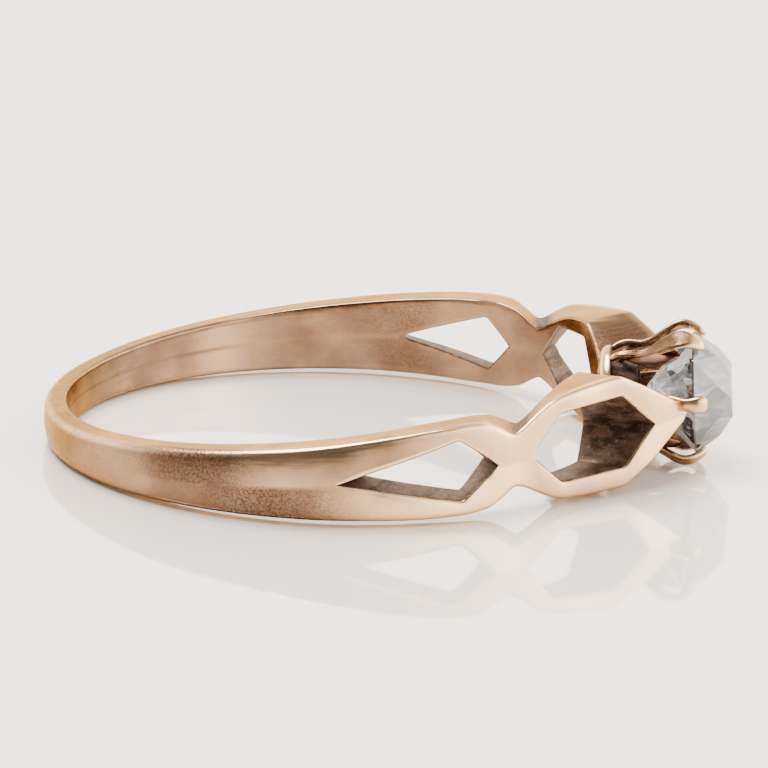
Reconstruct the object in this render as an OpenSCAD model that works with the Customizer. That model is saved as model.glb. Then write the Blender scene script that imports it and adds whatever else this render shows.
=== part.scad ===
// Solitaire engagement ring with a claw-set old-cut diamond and pierced shoulders.
// The origin is the centre of the finger hole. +Z is the axis of the finger hole,
// +X points to the stone, and the shoulder called "near" is on the -Y side.

/* [Hoop] */
// Diameter of the finger hole
finger_d = 17.2; // [14:0.1:21]
// Radial thickness at the back of the hoop
back_t = 0.65; // [0.4:0.05:1.2]
// Radial thickness at the sides and through the shoulders
side_t = 1.05; // [0.8:0.05:1.6]
// Width of the hoop at the back
back_w = 1.3; // [1:0.1:3]
// Width where the plain hoop meets the pierced shoulders
join_w = 2.24; // [1.6:0.02:3.4]
// Angle between the stone and the soldered joint of hoop and shoulder
join_angle = 93; // [90:1:100]

/* [Pierced shoulders] */
// Width over the widest part of the kite-shaped piercing
kite_w = 2.9; // [2.4:0.02:4.2]
// Width of the waist between the two piercings
waist_w = 1.56; // [1.2:0.02:2.2]
// Width over the six-sided piercing
hex_w = 3.56; // [3:0.02:4.4]
// Width of gold left beside the kite-shaped piercing
kite_rim = 0.46; // [0.3:0.02:0.6]
// Width of gold left beside the six-sided piercing
hex_rim = 0.66; // [0.4:0.02:0.9]
// Angles of the kite's back point, widest point and front point, at the outer face
kite_angles = [85, 62, 53.4];
// Angle of the middle of the waist
waist_angle = 50; // [46:0.5:54]
// Length of gold from the middle of the waist to the six-sided piercing
waist_gap = 0.78; // [0.6:0.02:1]
// Length of the sloping ends of the six-sided piercing, waist end then stone end
hex_ends = [1.2, 1.2];
// Angles of the same piercing at the finger: waist point, two corners, end near the stone
hex_inner_angles = [41.5, 35, 22, 19.5];
// Length of the curved tip that lies against the shoulder claw
tip_len = 1.7; // [1.2:0.05:2.2]
// Slope of that tip against the axis of the stone
tip_slope = 55; // [50:1:60]
// Height of the tip of the shoulder at its end
tip_h = 0.56; // [0.4:0.02:1]

/* [Head] */
// Outside diameter of the base ring
base_d = 3.14; // [2.6:0.02:3.6]
// Height of the base ring above the finger hole
base_h = 0.4; // [0.3:0.05:0.8]
// Diameter of the open hole under the stone
base_hole_d = 1.6; // [1:0.05:2]
// Outside diameter of the inner tube that carries the claws
tube_d = 2.5; // [2:0.02:2.8]
// Wall of the inner tube
tube_wall = 0.25; // [0.2:0.02:0.4]
// Height of the inner tube
tube_h = 0.85; // [0.6:0.05:1]
// Distance from the base ring's top to the girdle of the stone
girdle_h = 2.62; // [2.5:0.02:3.2]
// Width of a free claw, measured as an angle round the head
claw_angle = 20; // [14:1:24]
// Width of a shoulder claw, measured as an angle round the head
shoulder_claw_angle = 24; // [14:1:26]
// How far the widest bend of a free claw stands out past the girdle
claw_flare = 0.48; // [0.2:0.01:0.7]
// How far the outer face of a shoulder claw stands out past the girdle
shoulder_claw_out = 0.05; // [0.02:0.01:0.15]
// Width of a leaf, measured as an angle round the head
leaf_angle = 9; // [6:1:12]
// Angle between a leaf and the nearest shoulder claw
leaf_at = 43; // [38:1:44]
// How far the widest bend of a leaf stands out past the girdle
leaf_flare = 0.07; // [0:0.01:0.2]
// How far the head sits above the middle of the hoop's width
head_rise = 0.13; // [0:0.01:0.15]

/* [Diamond] */
// Girdle diameter
stone_d = 3.9; // [3.8:0.02:3.94]
// Height of the crown above the girdle
crown_h = 1.16; // [0.6:0.02:1.3]
// Depth of the pavilion below the girdle
pavilion_h = 1.74; // [1.4:0.02:1.9]
// Thickness of the girdle
girdle_t = 0.06; // [0.03:0.01:0.12]
// Diameter of the table
table_d = 1.9; // [1.6:0.02:2.4]
// Diameter of the open culet
culet_d = 0.5; // [0.1:0.02:0.7]

/* [Hidden] */
$fn = 96;
gold = "#c08a5a";
dark_gold = "#a8744a";
big = 60;
finger_r = finger_d / 2;
side_r = finger_r + side_t;
// The back of the hoop is an eccentric circle that meets the side circle at x = 0
back_r = ((finger_r + back_t) ^ 2 + side_r ^ 2) / (2 * (finger_r + back_t));
back_shift = back_r - finger_r - back_t;
base_top = finger_r + base_h;
girdle_x = base_top + girdle_h;
stone_r = stone_d / 2;
claw_flare_r = stone_r + claw_flare;
shoulder_claw_r = stone_r + shoulder_claw_out;
leaf_r = stone_r + leaf_flare;
tube_top = base_top + tube_h;

// Point at radius r and angle a from the stone, on the near side
function polar(r, a) = [r * cos(a), -r * sin(a)];
function unit(v) = v / norm(v);

// Plan of the outer face of the near shoulder: waist, knee and tip
waist_p = polar(side_r, waist_angle);
tip_p = [girdle_x - 0.22, -(shoulder_claw_r - 0.05)];
knee_p = tip_p + tip_len * [-cos(tip_slope), -sin(tip_slope)];
face_dir = unit(knee_p - waist_p);
face_len = norm(knee_p - waist_p);
function face(d) = waist_p + d * face_dir;
fold_out = face(face_len - hex_ends[1]);
fold_in = polar(finger_r, hex_inner_angles[2]);

// Keeps what lies below a plane through p, with the upward normal n
module cut_above(p, n)
    translate(p)
        rotate([0, acos(n.z / norm(n)), atan2(n.y, n.x)])
            translate([-big / 2, -big / 2, 0])
                cube(big);

// Solid through two rings of points, drawn a little past both of them
module taper_cut(outer, inner, past = 0.35)
    hull()
        polyhedron(
            points = concat([for (i = [0:len(outer) - 1]) outer[i] + past * unit(outer[i] - inner[i])],
                            [for (i = [0:len(inner) - 1]) inner[i] - past * unit(outer[i] - inner[i])]),
            faces = [[for (i = [0:len(outer) - 1]) i],
                     [for (i = [2 * len(outer) - 1:-1:len(outer)]) i]]);

// Side outline of the hoop and shoulders, symmetric about z = 0, drawn along Y
module side_outline(half)
    rotate([90, 0, 0])
        linear_extrude(height = big, center = true)
            polygon(concat(half, [for (i = [len(half) - 1:-1:0]) [half[i].x, -half[i].y]]));

join_x = side_r * cos(join_angle);
kite_x = side_r * cos(kite_angles[1]);
waist_x = waist_p.x;
back_x = -(finger_r + back_t);
// The hoop widens in two straight tapers, from the back to the widest part of the kite
hoop_half = [[back_x - 1, back_w / 2],
             [back_x * 0.66, back_w / 2 + 0.1],
             [join_x, join_w / 2],
             [join_x + 1, join_w / 2 + (kite_w - join_w) / 2 / (kite_x - join_x)]];
shoulder_half = [[join_x - 1, join_w / 2 - (kite_w - join_w) / 2 / (kite_x - join_x)],
                 [kite_x, kite_w / 2],
                 [kite_x + 0.75, kite_w / 2 - 0.12],
                 [waist_x - 0.1, waist_w / 2],
                 [waist_x + 0.1, waist_w / 2],
                 [waist_x + 0.95, hex_w / 2 - 0.3],
                 [waist_x + 1.4, hex_w / 2 - 0.1],
                 [fold_out.x - 0.9, hex_w / 2],
                 [big / 2, hex_w / 2]];

module hoop_plan()
    difference() {
        union() {
            intersection() {
                translate([back_shift, 0])
                    circle(r = back_r);
                translate([-big, -big / 2])
                    square(big);
            }
            intersection() {
                circle(r = side_r);
                translate([0, -big / 2])
                    square(big);
            }
        }
        circle(r = finger_r);
    }

// Area on the stone's side of the two joints
module shoulder_sector()
    polygon([[0, 0], polar(big, join_angle), [big, -big], [big, 0]]);

module shank()
    color(gold)
        intersection() {
            linear_extrude(height = hex_w, center = true)
                difference() {
                    hoop_plan();
                    shoulder_sector();
                    mirror([0, 1])
                        shoulder_sector();
                }
            side_outline(hoop_half);
        }

// Turns +Z to the head's axis, which runs along +X a little above the middle of the hoop
module on_head_axis()
    translate([0, 0, head_rise])
        rotate([0, 90, 0])
            children();

// Everything the head takes up inside the shoulders, as a body of revolution
module head_room()
    on_head_axis()
        rotate_extrude()
            polygon([[0, 0], [base_d / 2, 0], [base_d / 2, base_top],
                     [claw_foot_r, base_top], [shoulder_claw_bulge_r, base_top + 0.45],
                     [shoulder_claw_bulge_r, base_top + 1.4],
                     [shoulder_claw_r, girdle_x - 0.4], [shoulder_claw_r + 0.08, girdle_x - 0.05],
                     [shoulder_claw_r + 0.08, big / 2], [0, big / 2]]);

module kite_window() {
    a = kite_angles;
    z = kite_w / 2 - kite_rim;
    outer = [polar(side_r, a[0]), polar(side_r, a[1]), polar(side_r, a[2])];
    // The walls of the piercing run nearly parallel to Y
    inner = [polar(finger_r, a[0] - 5), polar(finger_r, a[1] - 3), polar(finger_r, a[2] - 0.4)];
    taper_cut([[outer[0].x, outer[0].y, 0], [outer[1].x, outer[1].y, z],
               [outer[2].x, outer[2].y, 0], [outer[1].x, outer[1].y, -z]],
              [[inner[0].x, inner[0].y, 0], [inner[1].x, inner[1].y, z - 0.08],
               [inner[2].x, inner[2].y, 0], [inner[1].x, inner[1].y, -z + 0.08]]);
}

module hex_window() {
    z = hex_w / 2 - hex_rim;
    o = [face(waist_gap), face(waist_gap + hex_ends[0]), fold_out, knee_p];
    i = [for (a = hex_inner_angles) polar(finger_r, a)];
    taper_cut([[o[0].x, o[0].y, 0], [o[1].x, o[1].y, z], [o[2].x, o[2].y, z],
               [o[3].x, o[3].y, 0], [o[2].x, o[2].y, -z], [o[1].x, o[1].y, -z]],
              [[i[0].x, i[0].y, 0], [i[1].x, i[1].y, z], [i[2].x, i[2].y, z],
               [i[3].x, i[3].y, 0], [i[2].x, i[2].y, -z], [i[1].x, i[1].y, -z]]);
}

// The sloping side of the V that runs from the fold to the tip
module v_slope() {
    a = [fold_out.x, fold_out.y, hex_w / 2];
    b = [fold_in.x, fold_in.y, hex_w / 2];
    c = [tip_p.x, tip_p.y, tip_h / 2];
    cut_above(a, cross(c - a, b - a));
}

module shoulder()
    difference() {
        intersection() {
            linear_extrude(height = hex_w, center = true)
                difference() {
                    union() {
                        intersection() {
                            circle(r = side_r);
                            polygon([[0, 0], polar(big, join_angle), [big, -big], [big, 0.4]]);
                        }
                        // The straight face leaves the side circle just past the waist
                        polygon([[0, 0], face(0.5), knee_p, tip_p, [tip_p.x, 0.5]]);
                    }
                    circle(r = finger_r);
                }
            side_outline(shoulder_half);
        }
        v_slope();
        mirror([0, 0, 1])
            v_slope();
        kite_window();
        hex_window();
        head_room();
    }

module shoulder_near()
    color(gold)
        shoulder();

module shoulder_far()
    color(gold)
        mirror([0, 1, 0])
            shoulder();

claw_foot_r = base_d / 2 + 0.03;
shoulder_claw_bulge_r = base_d / 2 + 0.2;
// Pavilion and crown lines of the stone, as radius against height
function pavilion_r(x) = stone_r * (x - girdle_x + pavilion_h) / pavilion_h;
girdle_top = girdle_x + girdle_t;

// Profile shared by the claws: radius and height, from the foot up the outside and back
// down the inside, where a notch holds the edge of the stone
function claw_inside() = [[stone_r - 0.16, girdle_top + 0.26], [stone_r, girdle_top],
                          [stone_r, girdle_x], [pavilion_r(girdle_x - 0.36), girdle_x - 0.36],
                          [tube_d / 2 + 0.2, girdle_x - 0.9], [tube_d / 2, tube_top],
                          [tube_d / 2, base_top]];
function free_claw() = concat(
    [[claw_foot_r, base_top], [base_d / 2 + 0.2, base_top + 0.45], [base_d / 2 + 0.1, base_top + 0.95],
     [base_d / 2 + 0.42, base_top + 1.55], [claw_flare_r - 0.06, girdle_x - 0.62],
     [claw_flare_r, girdle_x - 0.36], [claw_flare_r - 0.1, girdle_x],
     [stone_r + 0.22, girdle_top + 0.22], [stone_r - 0.02, girdle_top + 0.4]],
    claw_inside());
function shoulder_claw() = concat(
    [[claw_foot_r, base_top], [shoulder_claw_bulge_r, base_top + 0.45],
     [shoulder_claw_bulge_r, base_top + 1.4], [shoulder_claw_r, girdle_x - 0.4],
     [shoulder_claw_r + 0.08, girdle_x - 0.05], [shoulder_claw_r + 0.1, girdle_top + 0.12],
     [stone_r - 0.02, girdle_top + 0.38]],
    claw_inside());
function leaf() = [[tube_d / 2, base_top + 0.3], [tube_d / 2 + 0.35, base_top + 0.5],
                   [leaf_r - 0.12, base_top + 1.3], [leaf_r, girdle_x - 0.85],
                   [leaf_r - 0.06, girdle_x - 0.55], [leaf_r - 0.24, girdle_x - 0.34],
                   [pavilion_r(girdle_x - 0.44), girdle_x - 0.44], [leaf_r - 0.3, girdle_x - 0.85],
                   [tube_d / 2 + 0.18, base_top + 1.1], [tube_d / 2, tube_top]];

// A slice of a body of revolution round the head's axis, centred on angle a from the near side
module slice(profile, a, width)
    on_head_axis()
        rotate([0, 0, a - 90 - width / 2])
            rotate_extrude(angle = width)
                polygon(profile);

module base_ring()
    color(gold)
        difference() {
            on_head_axis()
                rotate_extrude()
                    polygon([[base_hole_d / 2, 0], [base_d / 2 - 0.55, 0],
                             [base_d / 2 - 0.55, finger_r - 0.08], [base_d / 2 - 0.2, finger_r + 0.04],
                             [base_d / 2, finger_r + 0.22], [base_d / 2, base_top],
                             [base_hole_d / 2, base_top]]);
            cylinder(r = finger_r, h = big, center = true);
        }

module inner_tube()
    color(dark_gold)
        on_head_axis()
            rotate_extrude()
                polygon([[tube_d / 2 - tube_wall, base_top], [tube_d / 2, base_top],
                         [tube_d / 2, tube_top], [tube_d / 2 - tube_wall, tube_top]]);

module claw_shoulder_near() color(gold) slice(shoulder_claw(), 0, shoulder_claw_angle);
module claw_upper_near() color(gold) slice(free_claw(), -60, claw_angle);
module claw_upper_far() color(gold) slice(free_claw(), -120, claw_angle);
module claw_shoulder_far() color(gold) slice(shoulder_claw(), 180, shoulder_claw_angle);
module claw_lower_far() color(gold) slice(free_claw(), 120, claw_angle);
module claw_lower_near() color(gold) slice(free_claw(), 60, claw_angle);
module leaf_upper_near() color(dark_gold) slice(leaf(), -leaf_at, leaf_angle);
module leaf_upper_far() color(dark_gold) slice(leaf(), leaf_at - 180, leaf_angle);
module leaf_lower_far() color(dark_gold) slice(leaf(), 180 - leaf_at, leaf_angle);
module leaf_lower_near() color(dark_gold) slice(leaf(), leaf_at, leaf_angle);

// Old European cut: eight-fold, with a small table, a high crown and an open culet.
// A facet plane through a point at radius r0 and one at r1, eight times round the stone,
// meets its neighbour at half a step, where the height follows from the plane.
function ring_of(n, r, x, turn) = [for (i = [0:n - 1])
    [x, r * cos(turn + 360 * i / n), head_rise + r * sin(turn + 360 * i / n)]];
function plane_x(r, r0, x0, r1, x1) = x0 + (x1 - x0) * (r * cos(22.5) - r0) / (r1 - r0);

module diamond() {
    table_r = table_d / 2;
    star_r = table_r + 0.5 * (stone_r - table_r);
    lower_r = culet_d / 2 + 0.28 * (stone_r - culet_d / 2);
    table_x = girdle_top + crown_h;
    culet_x = girdle_x - pavilion_h * (1 - culet_d / stone_d);
    color("#dfe6ea")
        hull()
            polyhedron(
                points = concat(
                    ring_of(8, table_r, table_x, 0),
                    ring_of(8, star_r, plane_x(star_r, table_r, table_x, stone_r, girdle_top), 22.5),
                    ring_of(16, stone_r, girdle_top, 0),
                    ring_of(16, stone_r, girdle_x, 0),
                    ring_of(8, lower_r, plane_x(lower_r, culet_d / 2, culet_x, stone_r, girdle_x), 22.5),
                    ring_of(8, culet_d / 2, culet_x, 0)),
                faces = [[for (i = [0:63]) i]]);
}

shank();
shoulder_near();
shoulder_far();
base_ring();
inner_tube();
claw_shoulder_near();
claw_upper_near();
claw_upper_far();
claw_shoulder_far();
claw_lower_far();
claw_lower_near();
leaf_upper_near();
leaf_upper_far();
leaf_lower_far();
leaf_lower_near();
diamond();
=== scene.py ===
"""Old solitaire ring: a diamond in a head of curled claws on a hoop with pierced shoulders.

Lengths below are millimetres in the ring's own frame: the finger hole's axis is Z, the stone
looks along +X, and the near shoulder is on the -Y side. MM turns them into metres.
"""
import math

import bmesh
import bpy
import numpy as np
from mathutils import Matrix, Vector


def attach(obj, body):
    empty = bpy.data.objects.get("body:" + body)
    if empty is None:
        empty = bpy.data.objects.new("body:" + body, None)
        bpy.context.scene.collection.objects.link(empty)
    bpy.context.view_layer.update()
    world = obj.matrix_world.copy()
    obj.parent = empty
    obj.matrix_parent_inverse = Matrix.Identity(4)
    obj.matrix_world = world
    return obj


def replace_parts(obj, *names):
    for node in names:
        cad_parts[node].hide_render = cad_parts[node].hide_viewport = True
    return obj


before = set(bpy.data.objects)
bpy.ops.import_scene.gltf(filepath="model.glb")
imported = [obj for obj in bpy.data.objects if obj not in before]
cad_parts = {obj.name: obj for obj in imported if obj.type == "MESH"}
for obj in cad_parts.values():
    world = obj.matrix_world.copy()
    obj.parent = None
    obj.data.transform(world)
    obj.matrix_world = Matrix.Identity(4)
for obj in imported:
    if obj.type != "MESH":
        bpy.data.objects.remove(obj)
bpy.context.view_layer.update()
MM = 0.001

# ------------------------------------------------------------------ sizes
FINGER_R = 8.6
SIDE_R = 9.65
BACK_T = 0.66
JOIN_ANGLE = 93.0
WAIST_ANGLE = 50.0
KITE_BACK, KITE_WIDE, KITE_FRONT = 85.0, 61.3, 53.4
KITE_HALF, KITE_TAPER = 0.98, 0.1
HEX_START, HEX_FIRST, HEX_SECOND, HEX_END = 0.78, 2.0, 4.65, 5.92
HEX_HALF = 1.13
SHOULDER_HALF = 1.81
TIP_LEN, TIP_SLOPE = 1.7, 55.0
TIP_HALF = 0.28
BASE_TOP = 9.0
GIRDLE_X = 11.62
STONE_R = 1.95
TUBE_R, TUBE_WALL, TUBE_TOP = 1.25, 0.25, 9.85
HEAD_RISE = 0.13
NEAR, FAR = -1, 1
SHANK_STEP, SHOULDER_STEP = 0.07, 0.035


# ------------------------------------------------------------------ mesh helpers
def smoothed(values, reach):
    """Each value becomes the bell-weighted mean of its neighbours within `reach` steps.
    Past both ends the row is continued as a straight mirror, so the ends stay put."""
    if reach <= 0:
        return values
    k = int(math.ceil(3 * reach))
    ahead = 2 * values[:1] - values[k:0:-1]
    behind = 2 * values[-1:] - values[-2:-k - 2:-1]
    long_row = np.concatenate([ahead, values, behind])
    offsets = np.arange(-k, k + 1)
    weights = np.exp(-0.5 * (offsets / reach) ** 2)
    weights /= weights.sum()
    total = 0
    for o, w in zip(offsets, weights):
        total = total + w * long_row[k + o:k + o + len(values)]
    return total


def bell(values, middle, width):
    """1 at the middle, falling off as the exponential of minus the squared distance in widths."""
    return np.exp(-((values - middle) / width) ** 2)


def unit(v):
    return v / np.maximum(np.linalg.norm(v, axis=-1, keepdims=True), 1e-9)


def grid_faces(rows, columns):
    """Quads of a grid of points, row by row; the last column joins the first."""
    r = np.arange(rows - 1)[:, None]
    c = np.arange(columns)[None, :]
    n = (c + 1) % columns
    a = r * columns + c
    b = r * columns + n
    return np.stack([a, b, b + columns, a + columns], -1).reshape(-1, 4)


def build(name, points, faces, material, masks=None, caps=False):
    """Puts points (mm) and faces into a mesh, merges what coincides, closes flat ends if asked
    and turns every face outwards. masks are named values for each point."""
    mesh = bpy.data.meshes.new(name)
    mesh.from_pydata((points * MM).tolist(), [], faces.tolist())
    for key, value in (masks or {}).items():
        layer = mesh.attributes.new(key, "FLOAT", "POINT")
        layer.data.foreach_set("value", np.ascontiguousarray(value, np.float32).ravel())
    bm = bmesh.new()
    bm.from_mesh(mesh)
    bmesh.ops.remove_doubles(bm, verts=bm.verts, dist=2e-7)
    bmesh.ops.dissolve_degenerate(bm, edges=bm.edges, dist=1e-7)
    loose = [v for v in bm.verts if not v.link_faces]
    bmesh.ops.delete(bm, geom=loose, context="VERTS")
    for f in bm.faces:
        f.smooth = True
    if caps:
        rim = [e for e in bm.edges if len(e.link_faces) == 1]
        made = bmesh.ops.holes_fill(bm, edges=rim, sides=0)["faces"]
        for e in rim:
            e.smooth = False
        for f in bmesh.ops.triangulate(bm, faces=made)["faces"]:
            f.smooth = False
    bmesh.ops.recalc_face_normals(bm, faces=bm.faces)
    bm.to_mesh(mesh)
    bm.free()
    mesh.materials.append(material)
    obj = bpy.data.objects.new(name, mesh)
    bpy.context.scene.collection.objects.link(obj)
    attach(obj, "root")
    return obj


# ------------------------------------------------------------------ hoop and shoulders
def ring_point(radius, angle):
    a = np.radians(angle)
    return np.stack([radius * np.cos(a), -radius * np.sin(a)], -1)


def outer_radius(angle):
    """The outside is a circle round the finger hole on the stone's side, and an eccentric
    circle on the back, which brings the thickness down to BACK_T."""
    thin = FINGER_R + BACK_T
    r = (thin ** 2 + SIDE_R ** 2) / (2 * thin)
    shift = r - thin
    a = np.radians(angle)
    back = shift * np.cos(a) + np.sqrt(r ** 2 - (shift * np.sin(a)) ** 2)
    return np.where(angle < 90, SIDE_R, back)


WAIST = ring_point(SIDE_R, WAIST_ANGLE)
TIP = np.array([GIRDLE_X - 0.22, -STONE_R])
TIP_TURN = math.radians(TIP_SLOPE)
KNEE = TIP - TIP_LEN * np.array([math.cos(TIP_TURN), math.sin(TIP_TURN)])
FACE_LEN = float(np.linalg.norm(KNEE - WAIST))
FACE_DIR = (KNEE - WAIST) / FACE_LEN
FOLD_OUT = WAIST + FACE_DIR * HEX_SECOND
FOLD_IN = ring_point(FINGER_R, 22.0)


def along(angle):
    """Distance from the waist along the outer face, negative towards the back."""
    return -SIDE_R * math.radians(angle - WAIST_ANGLE)


JOIN_S = along(JOIN_ANGLE)
BACK_S = along(180.0)
TIP_S = FACE_LEN + TIP_LEN

# Where the section lines that start at s on the outer face end on the finger hole, in degrees
LINE_S = [BACK_S, JOIN_S, along(KITE_BACK), along(KITE_WIDE), along(KITE_FRONT), 0,
          HEX_START, HEX_FIRST, HEX_SECOND, HEX_END, TIP_S]
LINE_ANGLE = [180, JOIN_ANGLE, 80, 58.5, 52.6, 44, 41.5, 35, 22.5, 18.4, 10.4]

# Where along X the colour changes: the darkened notch of the waist, and painted shade and a painted
# highlight on the band
NOTCH_X = 6.45
SHADE_LOW_X, SHADE_HIGH_X, HIGHLIGHT_X = -1.5, -3.7, -0.8
INSIDE_REFLECTION_X, INSIDE_SHADE_X = -5.0, 1.2
# Where the painted highlight on the shoulder's outer face is brightest, counted from the waist
FACE_HIGHLIGHT_S = 3.3

# Half the width of the outline, seen along Y, against x
OUTLINE_X = [-9.3, -8.35, -6.1, -4.0, -2.5, 0.84, 3.6, 4.9, 5.5,
             5.95, 6.2, 6.52, 6.87, 7.21, 7.57, 8.4, 9.0, 20]
OUTLINE_H = [0.67, 0.67, 0.81, 0.92, 1.01, 1.22, 1.42, 1.45, 1.38,
             1.06, 0.8, 0.97, 1.25, 1.5, 1.67, 1.78, 1.81, 1.81]


def outline(x):
    fine = np.arange(-10, 13, 0.02)
    return np.interp(x, fine, smoothed(np.interp(fine, OUTLINE_X, OUTLINE_H), 5))


def v_slope(p):
    """Height of the sloping side of the V: level at the fold, falling straight to the tip."""
    fold = unit(FOLD_IN - FOLD_OUT)
    down = np.array([-fold[1], fold[0]])
    if (TIP - FOLD_OUT) @ down < 0:
        down = -down
    fall = (SHOULDER_HALF - TIP_HALF) / ((TIP - FOLD_OUT) @ down)
    return SHOULDER_HALF - fall * ((p - FOLD_OUT) @ down)


def piercing(s, knots, halves):
    """Half-height of a piercing, as straight runs between knots. Past both ends the runs go on
    below zero, so that rounding keeps the sharp ends in place."""
    first = (halves[1] - halves[0]) / (knots[1] - knots[0])
    last = (halves[-1] - halves[-2]) / (knots[-1] - knots[-2])
    w = np.interp(s, knots, halves)
    w = np.where(s < knots[0], halves[0] + first * (s - knots[0]), w)
    return np.where(s > knots[-1], halves[-1] + last * (s - knots[-1]), w)


def corner(before, at, after, reach_before, reach_after, count):
    """Rounded corner: a parabola from reach_before ahead of the corner to reach_after past it."""
    a = at + unit(before - at) * reach_before[:, None]
    b = at + unit(after - at) * reach_after[:, None]
    t = np.linspace(0, 1, count)[None, :, None]
    return (1 - t) ** 2 * a[:, None] + 2 * t * (1 - t) * at[:, None] + t ** 2 * b[:, None]


def straight(a, b, count):
    """count points between a and b, both ends left out."""
    t = np.linspace(0, 1, count + 2)[None, 1:-1, None]
    return a[:, None] * (1 - t) + b[:, None] * t


def band_half(s_from, s_to, step, side):
    """The near or far side of the hoop between two places along its outer face, cut every `step`.

    Each section is a rounded quadrangle of gold: the outer face from the piercing's edge up to
    the hoop's edge, the top, the finger side, and the wall of the piercing. The lower half is
    its mirror image, and where there is no piercing the two halves meet at z = 0.
    The faces are domed as one minus the squared share of the half-height, and every corner is a
    parabola between two tangent points."""
    n = int(round((s_to - s_from) / step)) + 1
    s = np.linspace(s_from, s_to, n)
    pad = 40
    d = s[1] - s[0]
    s_long = np.concatenate([s[0] - d * np.arange(pad, 0, -1), s, s[-1] + d * np.arange(1, pad + 1)])
    reach = 0.09 / d

    angle = WAIST_ANGLE - np.degrees(np.minimum(s_long, 0) / SIDE_R)
    on_circle = ring_point(outer_radius(angle), angle)
    on_face = WAIST + FACE_DIR * s_long[:, None]
    tip_dir = (TIP - KNEE) / TIP_LEN
    on_tip = KNEE + tip_dir * (s_long[:, None] - FACE_LEN)
    outer = np.where(s_long[:, None] < 0, on_circle, np.where(s_long[:, None] < FACE_LEN, on_face, on_tip))
    outer = smoothed(outer, 0.16 / d)
    slope_end = (LINE_ANGLE[-1] - LINE_ANGLE[-2]) / (LINE_S[-1] - LINE_S[-2])
    inner_angle = np.interp(s_long, LINE_S, LINE_ANGLE)
    inner_angle = np.where(s_long > TIP_S, LINE_ANGLE[-1] + slope_end * (s_long - TIP_S), inner_angle)
    inner_angle = np.where(s_long < BACK_S, 180 - (s_long - BACK_S) / SIDE_R * 57.3, inner_angle)
    straight_through = s_long < JOIN_S
    inner_angle = np.where(straight_through, inner_angle, smoothed(inner_angle, 0.05 / d))
    inner = ring_point(FINGER_R, inner_angle)

    kite_s = [along(KITE_BACK), along(KITE_WIDE), along(KITE_FRONT)]
    hex_s = [HEX_START, HEX_FIRST, HEX_SECOND, HEX_END]
    kite_out = smoothed(piercing(s_long, kite_s, [0, KITE_HALF, 0]), reach)
    kite_in = smoothed(piercing(s_long, kite_s, [0, KITE_HALF - KITE_TAPER, 0]), reach)
    hex_out = smoothed(piercing(s_long, hex_s, [0, HEX_HALF - 0.03, HEX_HALF + 0.02, 0]), reach)
    hex_in = smoothed(piercing(s_long, hex_s, [0, HEX_HALF - 0.03, HEX_HALF + 0.03, 0]), reach)
    w_out = np.maximum(kite_out, hex_out)
    w_in = np.maximum(kite_in, hex_in)
    w_out, w_in = np.maximum(w_out, 0), np.maximum(w_in, 0)
    open_here = (w_out > 1e-4) & (w_in > 1e-4)
    w_out, w_in = np.where(open_here, w_out, 0), np.where(open_here, w_in, 0)

    h_out = smoothed(np.minimum(outline(outer[:, 0]), v_slope(outer)), reach)
    h_in = smoothed(np.minimum(outline(inner[:, 0]), v_slope(inner)), reach)
    closing = np.clip((s_long - (TIP_S - 0.2)) / 0.22, 0, 1)
    h_out = h_out * np.sqrt(1 - closing ** 2 * 0.9)
    tangent = unit(np.gradient(outer, axis=0))
    normal = np.stack([tangent[:, 1], -tangent[:, 0]], -1)

    cut = slice(pad, pad + n)
    outer, inner, normal = outer[cut], inner[cut], normal[cut]
    w_out, w_in, h_out, h_in = w_out[cut], w_in[cut], h_out[cut], h_in[cut]
    zero = np.zeros(n)
    normal3 = np.column_stack([normal, zero])

    # Doming of the outer face: over the whole width where it is plain, over each rim elsewhere
    rim = np.clip(w_out / 0.35, 0, 1)
    rim = rim * rim * (3 - 2 * rim)
    plain_dome = np.interp(s, [BACK_S, JOIN_S, -2, 0, TIP_S], [0.1, 0.14, 0.1, 0.05, 0.05])
    middle, reach_z = (w_out + h_out) / 2, (h_out - w_out) / 2

    def dome(z):
        whole = plain_dome * (1 - (z / h_out) ** 2)
        part = 0.035 * (1 - ((z - middle) / reach_z) ** 2)
        return (1 - rim) * whole + rim * part

    def dome_slope(z):
        whole = plain_dome * (-2 * z / h_out ** 2)
        part = 0.035 * (-2 * (z - middle) / reach_z ** 2)
        return (1 - rim) * whole + rim * part

    depth = np.linalg.norm(outer - inner, axis=1)
    r_edge = np.interp(s, [BACK_S, JOIN_S, 0, TIP_S], [0.2, 0.24, 0.2, 0.2])
    r_edge = np.minimum(r_edge, 0.42 * (h_out - w_out))
    r_edge = np.minimum(r_edge, 0.42 * depth)
    r_top_in = np.minimum(0.12, 0.42 * (h_in - w_in)) * np.ones(n)
    r_hole = np.minimum(0.11, 0.5 * w_out)
    r_hole_in = np.minimum(0.07, 0.5 * w_in)

    z_a, z_b = h_out - r_edge, w_out + r_hole
    a = np.column_stack([outer, h_out]) + normal3 * (dome(z_a) + r_edge * dome_slope(z_a))[:, None]
    b = np.column_stack([outer, w_out]) + normal3 * (dome(z_b) - r_hole * dome_slope(z_b))[:, None]
    c = np.column_stack([inner, w_in])
    e = np.column_stack([inner, h_in])
    a_start = np.column_stack([outer, z_a]) + normal3 * dome(z_a)[:, None]
    b_end = np.column_stack([outer, z_b]) + normal3 * dome(z_b)[:, None]

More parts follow.
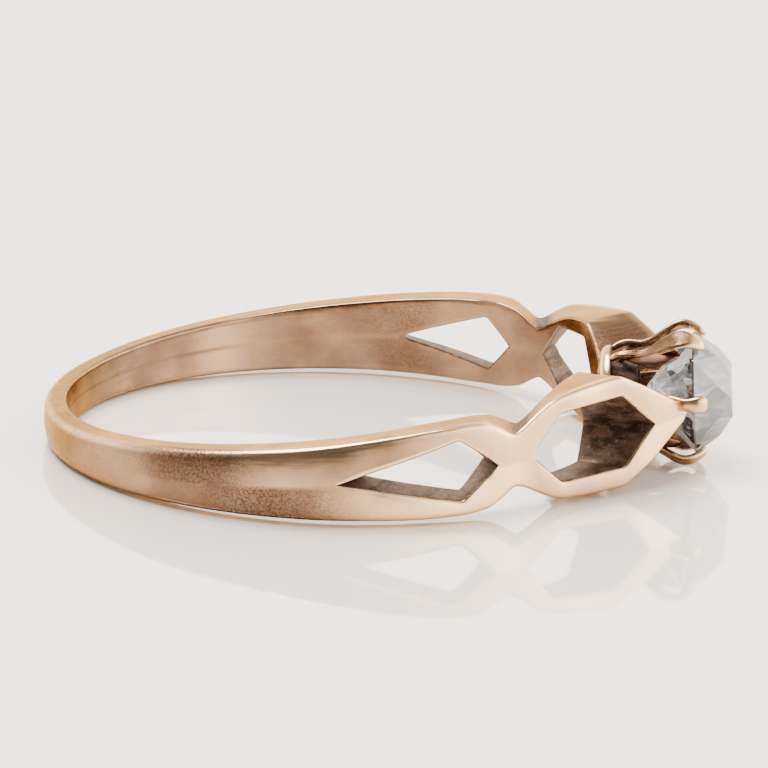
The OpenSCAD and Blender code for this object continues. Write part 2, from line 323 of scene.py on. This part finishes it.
    t = np.linspace(0, 1, 12)[1:-1]
    face_rows = []
    for f in t:
        z = z_b + (z_a - z_b) * f
        face_rows.append(np.column_stack([outer, z]) + normal3 * dome(z)[:, None])
    face = np.stack(face_rows, 1)
    c_b = corner(c, b, b_end, r_hole, np.linalg.norm(b_end - b, axis=1), 4)
    c_a = corner(a_start, a, e, np.linalg.norm(a_start - a, axis=1), r_edge, 9)
    c_e = corner(a, e, c, r_top_in, r_top_in, 5)
    c_c = corner(e, c, b, r_hole_in, r_hole_in, 4)
    top = straight(c_a[:, -1], c_e[:, 0], 5)
    finger = straight(c_e[:, -1], c_c[:, 0], 6)
    wall = straight(c_c[:, -1], c_b[:, 0], 7)
    loop = np.concatenate([c_b, face, c_a, top, c_e, finger, c_c, wall], 1)
    counts = [c_b.shape[1], face.shape[1], c_a.shape[1], top.shape[1], c_e.shape[1],
              finger.shape[1], c_c.shape[1], wall.shape[1]]
    starts = np.cumsum([0] + counts)
    m = loop.shape[1]

    # Masks: the piercing's wall is darkened, and a painted highlight lies on the outer face, on its top edge
    # and on the edges of the piercings
    grime_and_shade = np.zeros((n, m))
    grime_and_shade[:, starts[7]:] = 1
    grime_and_shade[:, :counts[0]] = np.linspace(1, 0, counts[0]) ** 2
    grime_and_shade[:, starts[6]:starts[7]] = np.linspace(0.15, 1, counts[6])
    pierced = w_out > 0
    beside = pierced | np.roll(pierced, 1) | np.roll(pierced, -1)
    grime_and_shade[:, :starts[6]] *= pierced[:, None]
    grime_and_shade[:, starts[6]:] *= beside[:, None]
    # The notches of the waist are darkened
    notch = bell(loop[:, :, 0], NOTCH_X, 0.5)
    notch[:, :starts[2] + 6] = 0
    notch[:, starts[4] + 3:] = 0
    grime_and_shade = np.maximum(grime_and_shade, 0.7 * notch)
    highlight = np.zeros((n, m))
    shine = np.clip((s + 4.5) / 3.5, 0, 1)[:, None] * 0.55
    shine = np.maximum(shine, bell(s, FACE_HIGHLIGHT_S, 1.3)[:, None])
    highlight[:, :starts[2]] = shine
    highlight[:, starts[2]:starts[3]] = np.maximum(np.sin(np.linspace(0, math.pi, counts[2]))[None, :], shine)
    highlight[:, :counts[0]] = np.maximum(shine, pierced[:, None])
    # Painted shade on the slopes of the V and on the finger side; the hoop is also darker towards the back
    # and in the notches
    tarnish_and_shade = np.zeros((n, m))
    on_slope = np.clip((SHOULDER_HALF - 0.08 - loop[:, :, 2]) / 0.3, 0, 1) * (s > HEX_SECOND - 0.4)[:, None]
    tarnish_and_shade[:, starts[3]:starts[5]] = on_slope[:, starts[3]:starts[5]]
    tarnish_and_shade[:, starts[5]:starts[6]] = 0.35
    back = np.clip((-4.5 - outer[:, 0]) / 4, 0, 1)[:, None]
    tarnish_and_shade = np.maximum(tarnish_and_shade, 0.7 * back)
    tarnish_and_shade = np.maximum(tarnish_and_shade, notch)
    # Painted shade along the outer face's lower half and on a stretch of its upper half, and a painted
    # highlight midway along its upper half; the lower half has its own painted highlight, fainter below the
    # piercings
    highlight_low, tarnish_and_shade_low = highlight.copy(), tarnish_and_shade.copy()
    skin = starts[3]
    mid_low = bell(outer[:, 0], SHADE_LOW_X, 2.6)[:, None]
    mid_high = bell(outer[:, 0], SHADE_HIGH_X, 2.1)[:, None]
    tarnish_and_shade_low[:, :skin] = np.maximum(tarnish_and_shade[:, :skin], mid_low)
    tarnish_and_shade[:, :skin] = np.maximum(tarnish_and_shade[:, :skin], mid_high)
    highlight[:, :skin] = np.maximum(highlight[:, :skin], 0.6 * bell(outer[:, 0], HIGHLIGHT_X, 1.4)[:, None])
    window_low = np.clip((s - 0.2) / 0.8, 0, 1) * np.clip((5.6 - s) / 0.8, 0, 1)
    highlight_low[:, :skin] = (np.clip((s + 7.0) / 2.5, 0, 1) * (1 - 0.65 * window_low))[:, None]
    fade = np.clip(loop[:, :skin, 2] / 0.15, 0, 1)
    highlight_low[:, :skin] = highlight[:, :skin] + (highlight_low[:, :skin] - highlight[:, :skin]) * fade
    tarnish_and_shade_low[:, :skin] = tarnish_and_shade[:, :skin] + (tarnish_and_shade_low[:, :skin] - tarnish_and_shade[:, :skin]) * fade
    # The finger side has a painted reflection near the back and painted shade towards the shoulders
    inside = slice(starts[5], starts[6])
    highlight[:, inside] = 0.7 * bell(outer[:, 0], INSIDE_REFLECTION_X, 0.9)[:, None]
    tarnish_and_shade[:, inside] = np.maximum(0.2, 0.6 * bell(outer[:, 0], INSIDE_SHADE_X, 1.6))[:, None]
    highlight_low[:, inside], tarnish_and_shade_low[:, inside] = highlight[:, inside], tarnish_and_shade[:, inside]

    points = loop.reshape(-1, 3).copy()
    points[:, 1] *= -side
    low = points * [1, 1, -1]
    faces = grid_faces(n, m)
    z = points[:, 2]
    flat = (z[faces] < 1e-6).all(1)
    faces = faces[~flat]
    everything = np.concatenate([points, low])
    both = np.concatenate([faces, faces[:, ::-1] + len(points)])
    masks = {"grime_and_shade": np.tile(grime_and_shade.ravel(), 2), "highlight": np.concatenate([highlight.ravel(), highlight_low.ravel()]),
             "tarnish_and_shade": np.concatenate([tarnish_and_shade.ravel(), tarnish_and_shade_low.ravel()])}
    return everything, both, masks


def make_shank(material):
    p1, f1, m1 = band_half(BACK_S, JOIN_S, SHANK_STEP, NEAR)
    p2, f2, m2 = band_half(BACK_S, JOIN_S, SHANK_STEP, FAR)
    points = np.concatenate([p1, p2])
    faces = np.concatenate([f1, f2[:, ::-1] + len(p1)])
    masks = {k: np.concatenate([m1[k], m2[k]]) for k in m1}
    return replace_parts(build("hoop", points, faces, material, masks, caps=True), "shank")


def make_shoulder(name, side, material, node):
    points, faces, masks = band_half(JOIN_S, TIP_S, SHOULDER_STEP, side)
    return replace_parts(build(name, points, faces, material, masks, caps=True), node)


# ------------------------------------------------------------------ head
def curve_through(knots, count, reach):
    """Points evenly spaced along a line through the knots, with its corners rounded."""
    knots = np.asarray(knots, float)
    run = np.concatenate([[0], np.cumsum(np.linalg.norm(np.diff(knots[:, :2], axis=0), axis=1))])
    t = np.linspace(0, run[-1], count)
    row = np.stack([np.interp(t, run, knots[:, k]) for k in range(knots.shape[1])], -1)
    return smoothed(row, reach), t / run[-1]


def turned(name, profile, material, node, masks_at=None, finger_cut=False):
    """A body of revolution round the head's axis. profile: closed loop of (x, r).
    With finger_cut, x is never less than the finger hole's circle allows at that y."""
    turns = 128
    a = np.linspace(0, 2 * math.pi, turns, endpoint=False)[:, None]
    x, r = profile[:, 0][None, :], profile[:, 1][None, :]
    y, z = -r * np.cos(a), r * np.sin(a)
    x = np.repeat(x, turns, 0)
    if finger_cut:
        x = np.maximum(x, np.sqrt(FINGER_R ** 2 - y ** 2))
    points = np.stack([x, y, z + HEAD_RISE], -1)
    m = profile.shape[0]
    faces = grid_faces(turns, m)
    c = np.arange(m)
    n = (c + 1) % m
    last = (turns - 1) * m
    seam = np.stack([last + c, last + n, n, c], -1)
    # masks_at darkens the surface as painted shade; the painted highlight lies where it is absent
    grime_and_shade = np.repeat(masks_at[None, :], turns, 0) if masks_at is not None else np.zeros((turns, m))
    obj = build(name, points.reshape(-1, 3), np.concatenate([faces, seam]), material,
                {"grime_and_shade": grime_and_shade, "highlight": 1 - grime_and_shade, "tarnish_and_shade": 0.3 + grime_and_shade * 0.5})
    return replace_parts(obj, node)


def strip(name, knots, angle, material, node, hollow=0.0, ends=(0.03, 0.08), shaded_body_end=0.86):
    """A bent strip that stands on the head. knots: x, r, width, thickness, swing in degrees.

    Its section is a rounded oblong with a groove down the outside, so that both edges stand up
    as rims. The section shrinks to a point at both ends along a quarter circle.
    ends are the shares of the length that shrink, and the last argument is where the painted shade
    on the body stops. The rims carry a painted highlight; the groove and the underside are painted shade
    too."""
    count, around = 130, 44
    row, t = curve_through(knots, count, 4)
    x, r, width, thick, swing = row.T
    tangent = unit(np.gradient(row[:, :2], axis=0))
    normal = np.stack([-tangent[:, 1], tangent[:, 0]], -1)
    foot, tip = ends
    start = np.where(t < foot, np.sqrt(np.clip(1 - ((foot - t) / foot) ** 2, 0, 1)), 1)
    stop = np.where(t > 1 - tip, np.sqrt(np.clip(1 - ((t - 1 + tip) / tip) ** 2, 0, 1)), 1)
    size = np.maximum(start * stop, 0)
    a = np.linspace(0, 2 * math.pi, around, endpoint=False)
    across = np.sign(np.cos(a)) * np.abs(np.cos(a)) ** 0.7
    up = np.sign(np.sin(a)) * np.abs(np.sin(a)) ** 0.8
    w = (width * size)[:, None] / 2 * across[None, :]
    depth = hollow * np.sin(np.pi * np.clip((t - 0.12) / 0.8, 0, 1)) ** 0.6
    groove = np.clip(1 - (across / 0.72) ** 2, 0, 1) ** 1.2
    h = (thick * size)[:, None] / 2 * up[None, :]
    h = h - (depth * size)[:, None] * groove[None, :] * (up > 0)[None, :]
    px = x[:, None] + h * normal[:, 0:1]
    pr = r[:, None] + h * normal[:, 1:2]
    turn = np.radians(angle + swing)[:, None] + w / np.maximum(r[:, None], 0.5)
    points = np.stack([px, -pr * np.cos(turn), HEAD_RISE - pr * np.sin(turn)], -1)
    # Painted shade in the groove, on the underside and on the body; a painted highlight on the rims
    grime_and_shade = np.zeros((count, around))
    if hollow:
        grime_and_shade = groove[None, :] * (up > 0)[None, :] * np.clip(depth[:, None] / hollow, 0, 1)
    inner = np.clip(-up / 0.3, 0, 1)[None, :] * (t < 0.82)[:, None]
    grime_and_shade = np.maximum(0.5 * grime_and_shade, 0.42 * inner)
    rim = np.clip((np.abs(across) - 0.8) / 0.15, 0, 1)[None, :]
    body = np.clip((t - 0.05) / 0.2, 0, 1) * np.clip((shaded_body_end - t) / 0.08, 0, 1)
    shaded = np.maximum(body[:, None] * (1 - rim), inner)
    highlight = 0.7 * (1 - shaded)
    obj = build(name, points.reshape(-1, 3), grid_faces(count, around), material,
                {"grime_and_shade": grime_and_shade, "highlight": highlight, "tarnish_and_shade": shaded})
    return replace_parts(obj, node)


# ------------------------------------------------------------------ materials
def node_group(name, inputs, outputs):
    g = bpy.data.node_groups.new(name, "ShaderNodeTree")
    for kind, label, default in inputs:
        sock = g.interface.new_socket(label, in_out="INPUT", socket_type=kind)
        sock.default_value = default
    for kind, label in outputs:
        g.interface.new_socket(label, in_out="OUTPUT", socket_type=kind)
    return g, g.nodes.new("NodeGroupInput"), g.nodes.new("NodeGroupOutput")


def noise(tree, vector, scale, detail=3.0, rough=0.55):
    n = tree.nodes.new("ShaderNodeTexNoise")
    n.inputs["Scale"].default_value = scale
    n.inputs["Detail"].default_value = detail
    n.inputs["Roughness"].default_value = rough
    tree.links.new(vector, n.inputs["Vector"])
    return n.outputs["Fac"]


def ranged(tree, value, low, high, out_low=0.0, out_high=1.0):
    n = tree.nodes.new("ShaderNodeMapRange")
    n.interpolation_type = "SMOOTHSTEP"
    n.inputs["From Min"].default_value = low
    n.inputs["From Max"].default_value = high
    n.inputs["To Min"].default_value = out_low
    n.inputs["To Max"].default_value = out_high
    tree.links.new(value, n.inputs["Value"])
    return n.outputs["Result"]


def maths(tree, kind, a, b):
    n = tree.nodes.new("ShaderNodeMath")
    n.operation = kind
    for i, v in enumerate((a, b)):
        if isinstance(v, (int, float)):
            n.inputs[i].default_value = v
        else:
            tree.links.new(v, n.inputs[i])
    return n.outputs[0]


def mixed(tree, factor, a, b):
    n = tree.nodes.new("ShaderNodeMix")
    n.data_type = "RGBA"
    tree.links.new(factor, n.inputs["Factor"])
    for sock, v in ((n.inputs["A"], a), (n.inputs["B"], b)):
        if isinstance(v, tuple):
            sock.default_value = (*v, 1)
        else:
            tree.links.new(v, sock)
    return n.outputs["Result"]


def old_gold_group():
    """Worn gold: fine scratches round the hoop, soft dents, cloudy tone, dark smears that are partly painted
    shade, a painted highlight that turns it pale, and a brown darkening that is partly tarnished and partly
    painted shade.
    """
    g, gi, go = node_group(
        "old_gold",
        [("NodeSocketColor", "Gold", (0.8, 0.5, 0.3, 1)),
         ("NodeSocketColor", "Pale Gold", (0.8, 0.6, 0.4, 1)),
         ("NodeSocketFloat", "Grime and Shade", 0.0),
         ("NodeSocketFloat", "Highlight", 0.0),
         ("NodeSocketFloat", "Tarnish and Shade", 0.0),
         ("NodeSocketFloat", "Polish", 0.15),
         ("NodeSocketFloat", "Scratch Depth", 1.0)],
        [("NodeSocketColor", "Color"), ("NodeSocketFloat", "Roughness"), ("NodeSocketFloat", "Metallic"),
         ("NodeSocketFloat", "Height")])
    coords = g.nodes.new("ShaderNodeTexCoord").outputs["Object"]
    streak = g.nodes.new("ShaderNodeMapping")
    streak.inputs["Scale"].default_value = (1, 1, 22)
    g.links.new(coords, streak.inputs["Vector"])
    cloud = noise(g, coords, 420, 3)
    speck = noise(g, coords, 5200, 4, 0.65)
    smear = g.nodes.new("ShaderNodeMapping")
    smear.inputs["Scale"].default_value = (1, 0.35, 2.6)
    g.links.new(coords, smear.inputs["Vector"])
    smears = noise(g, smear.outputs["Vector"], 2100, 5, 0.62)
    lines = noise(g, streak.outputs["Vector"], 700, 4, 0.6)
    dents = noise(g, coords, 650, 2)
    tone = mixed(g, ranged(g, cloud, 0.36, 0.68, 0.0, 0.26), gi.outputs["Gold"], gi.outputs["Pale Gold"])
    # The painted highlight turns the gold pale
    bright = mixed(g, gi.outputs["Highlight"], tone, gi.outputs["Pale Gold"])
    grain = ranged(g, noise(g, coords, 14000, 2, 0.6), 0.36, 0.64)
    grain_share = maths(g, "ADD", maths(g, "MULTIPLY", grain, 0.5), 0.5)
    # Darkening towards dark brown: partly tarnished metal, partly painted shade
    dulled = maths(g, "MULTIPLY", gi.outputs["Tarnish and Shade"], grain_share)
    bright = mixed(g, dulled, bright, (0.10, 0.052, 0.033))
    smear_swing = maths(g, "MULTIPLY", maths(g, "SUBTRACT", smears, 0.5), 1.4)
    # Dark smears, partly real soil and partly painted shade, spread out from the mask
    spread = maths(g, "ADD", gi.outputs["Grime and Shade"], smear_swing)
    dirt_and_shade = ranged(g, spread, 0.3, 0.75)
    dirt_and_shade = maths(g, "MULTIPLY", dirt_and_shade, ranged(g, gi.outputs["Grime and Shade"], 0.02, 0.3))
    dirt_tone = mixed(g, ranged(g, smears, 0.36, 0.64), (0.024, 0.013, 0.009), (0.125, 0.076, 0.053))
    dirt_tone = mixed(g, ranged(g, speck, 0.56, 0.70, 0.0, 0.45), dirt_tone, (0.28, 0.25, 0.22))
    colour = mixed(g, dirt_and_shade, bright, dirt_tone)
    g.links.new(colour, go.inputs["Color"])
    rough = maths(g, "ADD", gi.outputs["Polish"], maths(g, "MULTIPLY", ranged(g, lines, 0.4, 0.75), 0.1))
    rough = maths(g, "ADD", rough, maths(g, "MULTIPLY", dirt_and_shade, 0.35))
    rough = maths(g, "ADD", rough, maths(g, "MULTIPLY", dulled, 0.16))
    g.links.new(rough, go.inputs["Roughness"])
    g.links.new(maths(g, "SUBTRACT", 1.0, maths(g, "MULTIPLY", dirt_and_shade, 0.55)), go.inputs["Metallic"])
    height = maths(g, "ADD", maths(g, "MULTIPLY", lines, 0.12), maths(g, "MULTIPLY", dents, 3.0))
    height = maths(g, "MULTIPLY", height, gi.outputs["Scratch Depth"])
    crust = maths(g, "ADD", dirt_and_shade, maths(g, "MULTIPLY", gi.outputs["Tarnish and Shade"], 0.7))
    pitted = maths(g, "MULTIPLY", speck, crust)
    height = maths(g, "ADD", height, maths(g, "MULTIPLY", pitted, 1.2))
    g.links.new(height, go.inputs["Height"])
    return g


def gold_material(name, group, gold, pale, edge, polish):
    mat = bpy.data.materials.new(name)
    mat.use_nodes = True
    t = mat.node_tree
    b = t.nodes["Principled BSDF"]
    n = t.nodes.new("ShaderNodeGroup")
    n.node_tree = group
    n.inputs["Gold"].default_value = (*gold, 1)
    n.inputs["Pale Gold"].default_value = (*pale, 1)
    n.inputs["Polish"].default_value = polish
    n.inputs["Scratch Depth"].default_value = 1.0
    for key, sock in (("grime_and_shade", "Grime and Shade"), ("highlight", "Highlight"), ("tarnish_and_shade", "Tarnish and Shade")):
        a = t.nodes.new("ShaderNodeAttribute")
        a.attribute_name = key
        t.links.new(a.outputs["Fac"], n.inputs[sock])
    t.links.new(n.outputs["Color"], b.inputs["Base Color"])
    t.links.new(n.outputs["Roughness"], b.inputs["Roughness"])
    t.links.new(n.outputs["Metallic"], b.inputs["Metallic"])
    bump = t.nodes.new("ShaderNodeBump")
    bump.inputs["Distance"].default_value = 0.000012
    bump.inputs["Strength"].default_value = 1.0
    b.inputs["Specular Tint"].default_value = (*edge, 1)
    t.links.new(n.outputs["Height"], bump.inputs["Height"])
    t.links.new(bump.outputs["Normal"], b.inputs["Normal"])
    return mat


def diamond_material():
    """Old cut diamond: clear, a little milky, with faint clouds and grey flecks; the lower end of its
    pavilion is painted near white as a painted reflection, and its crown dark as painted shade.
    """
    mat = bpy.data.materials.new("old_cut_diamond")
    mat.use_nodes = True
    t = mat.node_tree
    b = t.nodes["Principled BSDF"]
    coords = t.nodes.new("ShaderNodeTexCoord").outputs["Object"]
    cloud = noise(t, coords, 900, 4, 0.6)
    fleck = noise(t, coords, 7000, 2, 0.5)
    split = t.nodes.new("ShaderNodeSeparateXYZ")
    t.links.new(coords, split.inputs[0])
    # The pavilion's lower end is painted near white as a painted reflection, and the crown dark, with
    # clouds, as painted shade
    white_pavilion_to_dark_crown = ranged(t, split.outputs["X"], 0.0107, 0.0117)
    crown_shade_tone = mixed(t, ranged(t, cloud, 0.42, 0.6), (0.035, 0.040, 0.048), (0.36, 0.37, 0.39))
    colour = mixed(t, white_pavilion_to_dark_crown, (0.96, 0.94, 0.92), crown_shade_tone)
    colour = mixed(t, ranged(t, fleck, 0.70, 0.76), colour, (0.35, 0.35, 0.37))
    t.links.new(colour, b.inputs["Base Color"])
    t.links.new(ranged(t, cloud, 0.4, 0.8, 0.02, 0.12), b.inputs["Roughness"])
    b.inputs["Transmission Weight"].default_value = 0.86
    b.inputs["IOR"].default_value = 2.3
    b.inputs["Specular IOR Level"].default_value = 0.35
    return mat


group = old_gold_group()
rose_gold = gold_material("rose_gold_polished", group, gold=(0.245, 0.140, 0.078),
                          pale=(0.89, 0.60, 0.34), edge=(0.92, 0.68, 0.42), polish=0.15)
# A darker copy of the gold, as painted shade, for the tube inside the head and the leaves
shaded_gold = gold_material("rose_gold_shaded", group, gold=(0.085, 0.042, 0.027),
                          pale=(0.22, 0.12, 0.08), edge=(0.45, 0.33, 0.26), polish=0.25)
diamond_glass = diamond_material()

# ------------------------------------------------------------------ the ring
hoop = make_shank(rose_gold)
near = make_shoulder("shoulder_near_pierced", NEAR, rose_gold, "shoulder_near")
far = make_shoulder("shoulder_far_pierced", FAR, rose_gold, "shoulder_far")

base_profile = np.array([(8.2, 0.8), (8.2, 1.02), (8.55, 1.1), (8.62, 1.3), (8.66, 1.42), (8.74, 1.52),
                         (8.84, 1.57), (8.94, 1.575), (8.99, 1.56), (9.0, 1.52), (9.0, 0.86), (8.97, 0.8)])
base_row, _ = curve_through(np.vstack([base_profile, base_profile[:1]]), 90, 0)
# The base ring's top, under the stone, is darkened as painted shade
base = turned("base_ring_turned", base_row[:-1], rose_gold, "base_ring",
              np.clip((base_row[:-1, 0] - 8.93) / 0.05, 0, 1) * 0.8, finger_cut=True)
tube_profile = np.array([(BASE_TOP, TUBE_R - TUBE_WALL), (BASE_TOP, TUBE_R), (TUBE_TOP - 0.05, TUBE_R),
                         (TUBE_TOP, TUBE_R - 0.05), (TUBE_TOP, TUBE_R - TUBE_WALL + 0.05),
                         (TUBE_TOP - 0.05, TUBE_R - TUBE_WALL)])
tube_row, _ = curve_through(np.vstack([tube_profile, tube_profile[:1]]), 60, 0)
# The tube, inside the head, is dark all over as painted shade
tube = turned("inner_tube_turned", tube_row[:-1], shaded_gold, "inner_tube", np.full(59, 1.0))

# Knots of the strips: x, r, width, thickness, swing in degrees
FREE_CLAW = [(8.96, 1.46, .2, .16, 0), (9.2, 1.62, .22, .2, 0), (9.47, 1.70, .24, .2, 0),
             (9.75, 1.66, .26, .2, 0), (9.98, 1.62, .32, .22, 0), (10.3, 1.74, .5, .22, 0),
             (10.7, 2.00, .74, .22, 0), (11.0, 2.20, .84, .22, 0), (11.26, 2.29, .82, .22, 0),
             (11.55, 2.24, .68, .24, 0), (11.8, 2.07, .5, .26, 0), (12.0, 1.87, .42, .24, 0)]
SHOULDER_CLAW = [(8.96, 1.46, .50, .2, 0), (9.2, 1.60, .55, .22, 0), (9.9, 1.62, .60, .24, 0),
                 (10.4, 1.66, .62, .26, 0), (11.0, 1.86, .56, .26, 0), (11.3, 1.98, .42, .26, 0),
                 (11.48, 2.02, .38, .3, 0), (11.66, 2.02, .54, .44, 0), (11.84, 1.98, .58, .44, 0),
                 (12.0, 1.88, .5, .34, 0), (12.08, 1.82, .4, .28, 0)]
LEAF = [(9.25, 1.2, .12, .1, -16), (9.42, 1.42, .14, .12, -12), (9.7, 1.60, .18, .12, 0),
        (10.0, 1.76, .3, .14, 5), (10.4, 1.88, .52, .16, 6), (10.8, 1.92, .56, .16, 4),
        (11.1, 1.88, .4, .14, 1), (11.26, 1.80, .22, .1, -2)]
# Where each strip stands round the head, in degrees; a leaf also leans to one hand
FREE_CLAW_AT = {"claw_upper_near": -63, "claw_upper_far": -118, "claw_lower_near": 60, "claw_lower_far": 120}
SHOULDER_CLAW_AT = {"claw_shoulder_near": -3, "claw_shoulder_far": 180}
LEAF_AT = {"leaf_upper_near": (-55, -1), "leaf_upper_far": (-125, 1),
           "leaf_lower_near": (46, 1), "leaf_lower_far": (134, -1)}
for name, at in FREE_CLAW_AT.items():
    claw = strip(name + "_curled", FREE_CLAW, at, rose_gold, name, hollow=0.06)
for name, at in SHOULDER_CLAW_AT.items():
    claw = strip(name + "_curled", SHOULDER_CLAW, at, rose_gold, name, ends=(0.03, 0.05), shaded_body_end=0.35)
# The leaves take the darker copy of the gold as painted shade
for name, (at, hand) in LEAF_AT.items():
    bent = [(x, r, width, thick, -hand * swing) for x, r, width, thick, swing in LEAF]
    leaf = strip(name + "_bent", bent, at, shaded_gold, name)

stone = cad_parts["diamond"]
stone.data.materials.clear()
stone.data.materials.append(diamond_glass)

# ------------------------------------------------------------------ table, light, camera
TABLE_TILT = math.radians(4.2)
TABLE_UNDER = (-9.1, 0, -0.67)


def glossy_material(name, colour, roughness):
    mat = bpy.data.materials.new(name)
    mat.use_nodes = True
    b = mat.node_tree.nodes["Principled BSDF"]
    b.inputs["Base Color"].default_value = (*colour, 1)
    b.inputs["Roughness"].default_value = roughness
    b.inputs["IOR"].default_value = 2.4
    return mat


def add_table(name, material, half=600.0):
    corners = np.array([(-half, -half, 0), (half, -half, 0), (half, half, 0), (-half, half, 0)]) * MM
    mesh = bpy.data.meshes.new(name)
    mesh.from_pydata(corners.tolist(), [], [(0, 1, 2, 3)])
    mesh.materials.append(material)
    obj = bpy.data.objects.new(name, mesh)
    bpy.context.scene.collection.objects.link(obj)
    turn = Matrix.Rotation(TABLE_TILT, 4, "Y")
    obj.matrix_world = Matrix.Translation(Vector(TABLE_UNDER) * MM) @ turn
    return obj


add_table("table_top", glossy_material("white_gloss", (0.95, 0.86, 0.785), 0.05))

world = bpy.data.worlds.new("studio")
bpy.context.scene.world = world
world.use_nodes = True
wt = world.node_tree
direction = wt.nodes.new("ShaderNodeTexCoord").outputs["Generated"]
split = wt.nodes.new("ShaderNodeSeparateXYZ")
wt.links.new(direction, split.inputs[0])
depth_light = ranged(wt, split.outputs["Y"], -0.85, 0.75, 0.13, 1.95)
right_light = ranged(wt, split.outputs["X"], 0.25, 0.9, 0.0, 1.9)
side_light = maths(wt, "ADD", depth_light, right_light)
overhead = ranged(wt, split.outputs["Z"], 0.4, 0.8, 1.0, 0.3)
strength = maths(wt, "MULTIPLY", maths(wt, "MULTIPLY", side_light, overhead), 2.1)
wt.nodes["Background"].inputs["Color"].default_value = (1.0, 0.935, 0.87, 1)
wt.links.new(strength, wt.nodes["Background"].inputs["Strength"])


def area(name, at, target, size, power):
    data = bpy.data.lights.new(name, "AREA")
    data.shape = "RECTANGLE"
    data.size = size[0] * MM
    data.size_y = size[1] * MM
    data.energy = power
    o = bpy.data.objects.new(name, data)
    bpy.context.scene.collection.objects.link(o)
    at, target = Vector(at) * MM, Vector(target) * MM
    o.location = at
    o.rotation_euler = (target - at).to_track_quat("-Z", "Y").to_euler()
    return o


area("top_softbox", (-60, 40, 300), (0, 0, 0), (220, 220), 2.3)

CAMERA_AT = (19.3, -201.1, 54.1)
CAMERA_YAW, CAMERA_PITCH, CAMERA_ROLL = math.radians(5.02), math.radians(-14.84), math.radians(-2.52)
CAMERA_LENS = 303.9


def add_camera():
    """Right, up and backward directions of the camera follow from its yaw, pitch and roll."""
    cy, sy = math.cos(CAMERA_YAW), math.sin(CAMERA_YAW)
    cp, sp = math.cos(CAMERA_PITCH), math.sin(CAMERA_PITCH)
    cr, sr = math.cos(CAMERA_ROLL), math.sin(CAMERA_ROLL)
    forward = np.array([-sy * cp, cy * cp, sp])
    level_right = np.array([cy, sy, 0.0])
    level_up = np.cross(level_right, forward)
    right, up = cr * level_right + sr * level_up, -sr * level_right + cr * level_up
    data = bpy.data.cameras.new("camera")
    data.lens = CAMERA_LENS
    data.sensor_width = 36.0
    data.clip_start = 0.01
    data.clip_end = 10.0
    cam = bpy.data.objects.new("camera", data)
    bpy.context.scene.collection.objects.link(cam)
    m = Matrix([list(r) for r in np.column_stack([right, up, -forward])]).to_4x4()
    m.translation = Vector(CAMERA_AT) * MM
    cam.matrix_world = m
    bpy.context.scene.camera = cam


add_camera()
